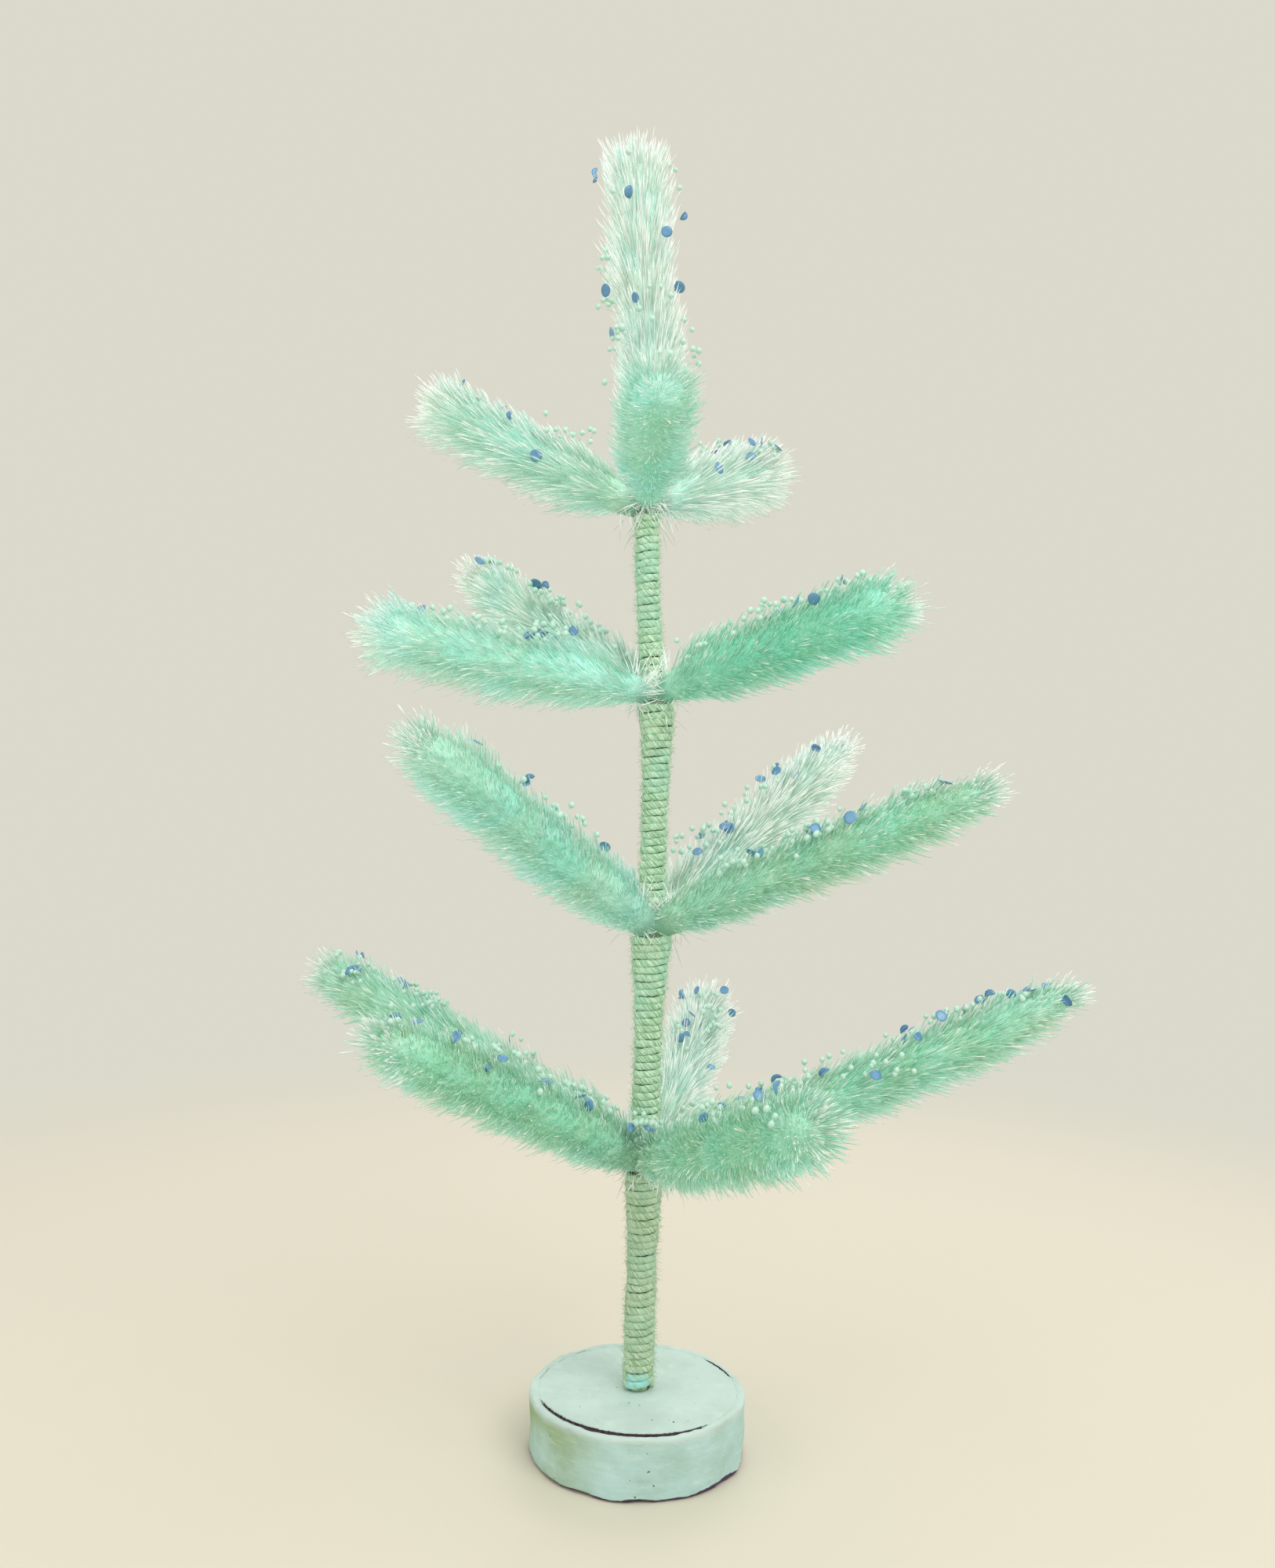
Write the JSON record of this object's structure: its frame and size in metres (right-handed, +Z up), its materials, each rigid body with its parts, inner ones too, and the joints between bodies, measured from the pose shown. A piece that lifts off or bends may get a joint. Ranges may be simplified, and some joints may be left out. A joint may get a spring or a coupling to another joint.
{
  "type": "tabletop tree ornament",
  "caption": "Tabletop ornament tree: cord-wound trunk on a painted log slice, tiers of sisal bottle-brush branches on bendable wires, brush leader",
  "frame": {"origin": "middle of the flat underside of the log slice", "axes": "+Z up the trunk, -Y towards the front, +X to the right seen from the front"},
  "size_m": [0.3888, 0.3251, 0.61],
  "materials": {
    "sisal_fibre": "matte",
    "jute_cord": "matte",
    "steel_wire": "satin",
    "painted_wood": "matte",
    "painted_bark": "matte",
    "dowel_wood": "matte"
  },
  "bodies": {
    "trunk": {"wood_slice": "painted_wood", "bark_ring": "painted_bark", "trunk_dowel": "dowel_wood", "cord_winding_1": "jute_cord", "cord_sleeve_1": "jute_cord", "cord_winding_2": "jute_cord", "cord_sleeve_2": "jute_cord", "cord_winding_3": "jute_cord", "cord_sleeve_3": "jute_cord", "cord_winding_4": "jute_cord", "cord_sleeve_4": "jute_cord", "wire_tail_1_right": "steel_wire", "wire_tail_1_front_right": "steel_wire", "wire_tail_1_back": "steel_wire", "wire_tail_1_back_left": "steel_wire", "wire_tail_1_front_left": "steel_wire", "wire_tail_2_front_left": "steel_wire", "wire_tail_2_back_right": "steel_wire", "wire_tail_2_front_right": "steel_wire", "wire_tail_3_front_left": "steel_wire", "wire_tail_3_back_left": "steel_wire", "wire_tail_3_front_right": "steel_wire", "wire_tail_4_left": "steel_wire", "wire_tail_4_back_right": "steel_wire", "wire_tail_4_front": "steel_wire"},
    "branch_1_right": {"wire_1_right": "steel_wire", "brush_1_right": "sisal_fibre"},
    "branch_1_front_right": {"wire_1_front_right": "steel_wire", "brush_1_front_right": "sisal_fibre"},
    "branch_1_back": {"wire_1_back": "steel_wire", "brush_1_back": "sisal_fibre"},
    "branch_1_back_left": {"wire_1_back_left": "steel_wire", "brush_1_back_left": "sisal_fibre"},
    "branch_1_front_left": {"wire_1_front_left": "steel_wire", "brush_1_front_left": "sisal_fibre"},
    "branch_2_front_left": {"wire_2_front_left": "steel_wire", "brush_2_front_left": "sisal_fibre"},
    "branch_2_back_right": {"wire_2_back_right": "steel_wire", "brush_2_back_right": "sisal_fibre"},
    "branch_2_front_right": {"wire_2_front_right": "steel_wire", "brush_2_front_right": "sisal_fibre"},
    "branch_3_front_left": {"wire_3_front_left": "steel_wire", "brush_3_front_left": "sisal_fibre"},
    "branch_3_back_left": {"wire_3_back_left": "steel_wire", "brush_3_back_left": "sisal_fibre"},
    "branch_3_front_right": {"wire_3_front_right": "steel_wire", "brush_3_front_right": "sisal_fibre"},
    "branch_4_left": {"wire_4_left": "steel_wire", "brush_4_left": "sisal_fibre"},
    "branch_4_back_right": {"wire_4_back_right": "steel_wire", "brush_4_back_right": "sisal_fibre"},
    "branch_4_front": {"wire_4_front": "steel_wire", "brush_4_front": "sisal_fibre"},
    "leader": {"wire_leader": "steel_wire", "brush_leader": "sisal_fibre"}
  },
  "joints": [
    {"name": "bend_1_right", "type": "hinge", "parent": "trunk", "child": "branch_1_right", "pos_m": [0.0051, 0.00027, 0.13512], "axis": [0.0523, -0.9986, 0], "range_deg": [-16, 12]},
    {"name": "bend_1_front_right", "type": "hinge", "parent": "trunk", "child": "branch_1_front_right", "pos_m": [0.00166, -0.00483, 0.13512], "axis": [-0.9455, -0.3256, 0], "range_deg": [-16, 12]},
    {"name": "bend_1_back", "type": "hinge", "parent": "trunk", "child": "branch_1_back", "pos_m": [0.00115, 0.00498, 0.13512], "axis": [0.9744, -0.225, 0], "range_deg": [-16, 12]},
    {"name": "bend_1_back_left", "type": "hinge", "parent": "trunk", "child": "branch_1_back_left", "pos_m": [-0.00447, 0.00248, 0.13512], "axis": [0.4848, 0.8746, 0], "range_deg": [-16, 12]},
    {"name": "bend_1_front_left", "type": "hinge", "parent": "trunk", "child": "branch_1_front_left", "pos_m": [-0.00293, -0.00419, 0.13512], "axis": [-0.8192, 0.5736, 0], "range_deg": [-16, 12]},
    {"name": "bend_2_front_left", "type": "hinge", "parent": "trunk", "child": "branch_2_front_left", "pos_m": [-0.0029, -0.00358, 0.24613], "axis": [-0.7771, 0.6293, 0], "range_deg": [-16, 12]},
    {"name": "bend_2_back_right", "type": "hinge", "parent": "trunk", "child": "branch_2_back_right", "pos_m": [0.00314, 0.00337, 0.24613], "axis": [0.7314, -0.682, 0], "range_deg": [-16, 12]},
    {"name": "bend_2_front_right", "type": "hinge", "parent": "trunk", "child": "branch_2_front_right", "pos_m": [0.00394, -0.00237, 0.24613], "axis": [-0.515, -0.8572, 0], "range_deg": [-16, 12]},
    {"name": "bend_3_front_left", "type": "hinge", "parent": "trunk", "child": "branch_3_front_left", "pos_m": [-0.00489, -0.00174, 0.35319], "axis": [-0.4226, 0.9063, 0], "range_deg": [-16, 12]},
    {"name": "bend_3_back_left", "type": "hinge", "parent": "trunk", "child": "branch_3_back_left", "pos_m": [-0.0044, 0.00253, 0.35319], "axis": [0.6157, 0.788, 0], "range_deg": [-16, 12]},
    {"name": "bend_3_front_right", "type": "hinge", "parent": "trunk", "child": "branch_3_front_right", "pos_m": [0.00208, -0.00253, 0.35319], "axis": [-0.6157, -0.788, 0], "range_deg": [-16, 12]},
    {"name": "bend_4_left", "type": "hinge", "parent": "trunk", "child": "branch_4_left", "pos_m": [-0.0111, 0, 0.44286], "axis": [0, 1, 0], "range_deg": [-16, 12]},
    {"name": "bend_4_back_right", "type": "hinge", "parent": "trunk", "child": "branch_4_back_right", "pos_m": [-0.00497, 0.00279, 0.44286], "axis": [0.7547, -0.6561, 0], "range_deg": [-16, 12]},
    {"name": "bend_4_front", "type": "hinge", "parent": "trunk", "child": "branch_4_front", "pos_m": [-0.00724, -0.0037, 0.44286], "axis": [-0.999, -0.0436, 0], "range_deg": [-16, 12]},
    {"name": "bend_leader", "type": "hinge", "parent": "trunk", "child": "leader", "pos_m": [-0.0074, 0, 0.44286], "axis": [0, 1, 0], "range_deg": [-10, 10]}
  ]
}
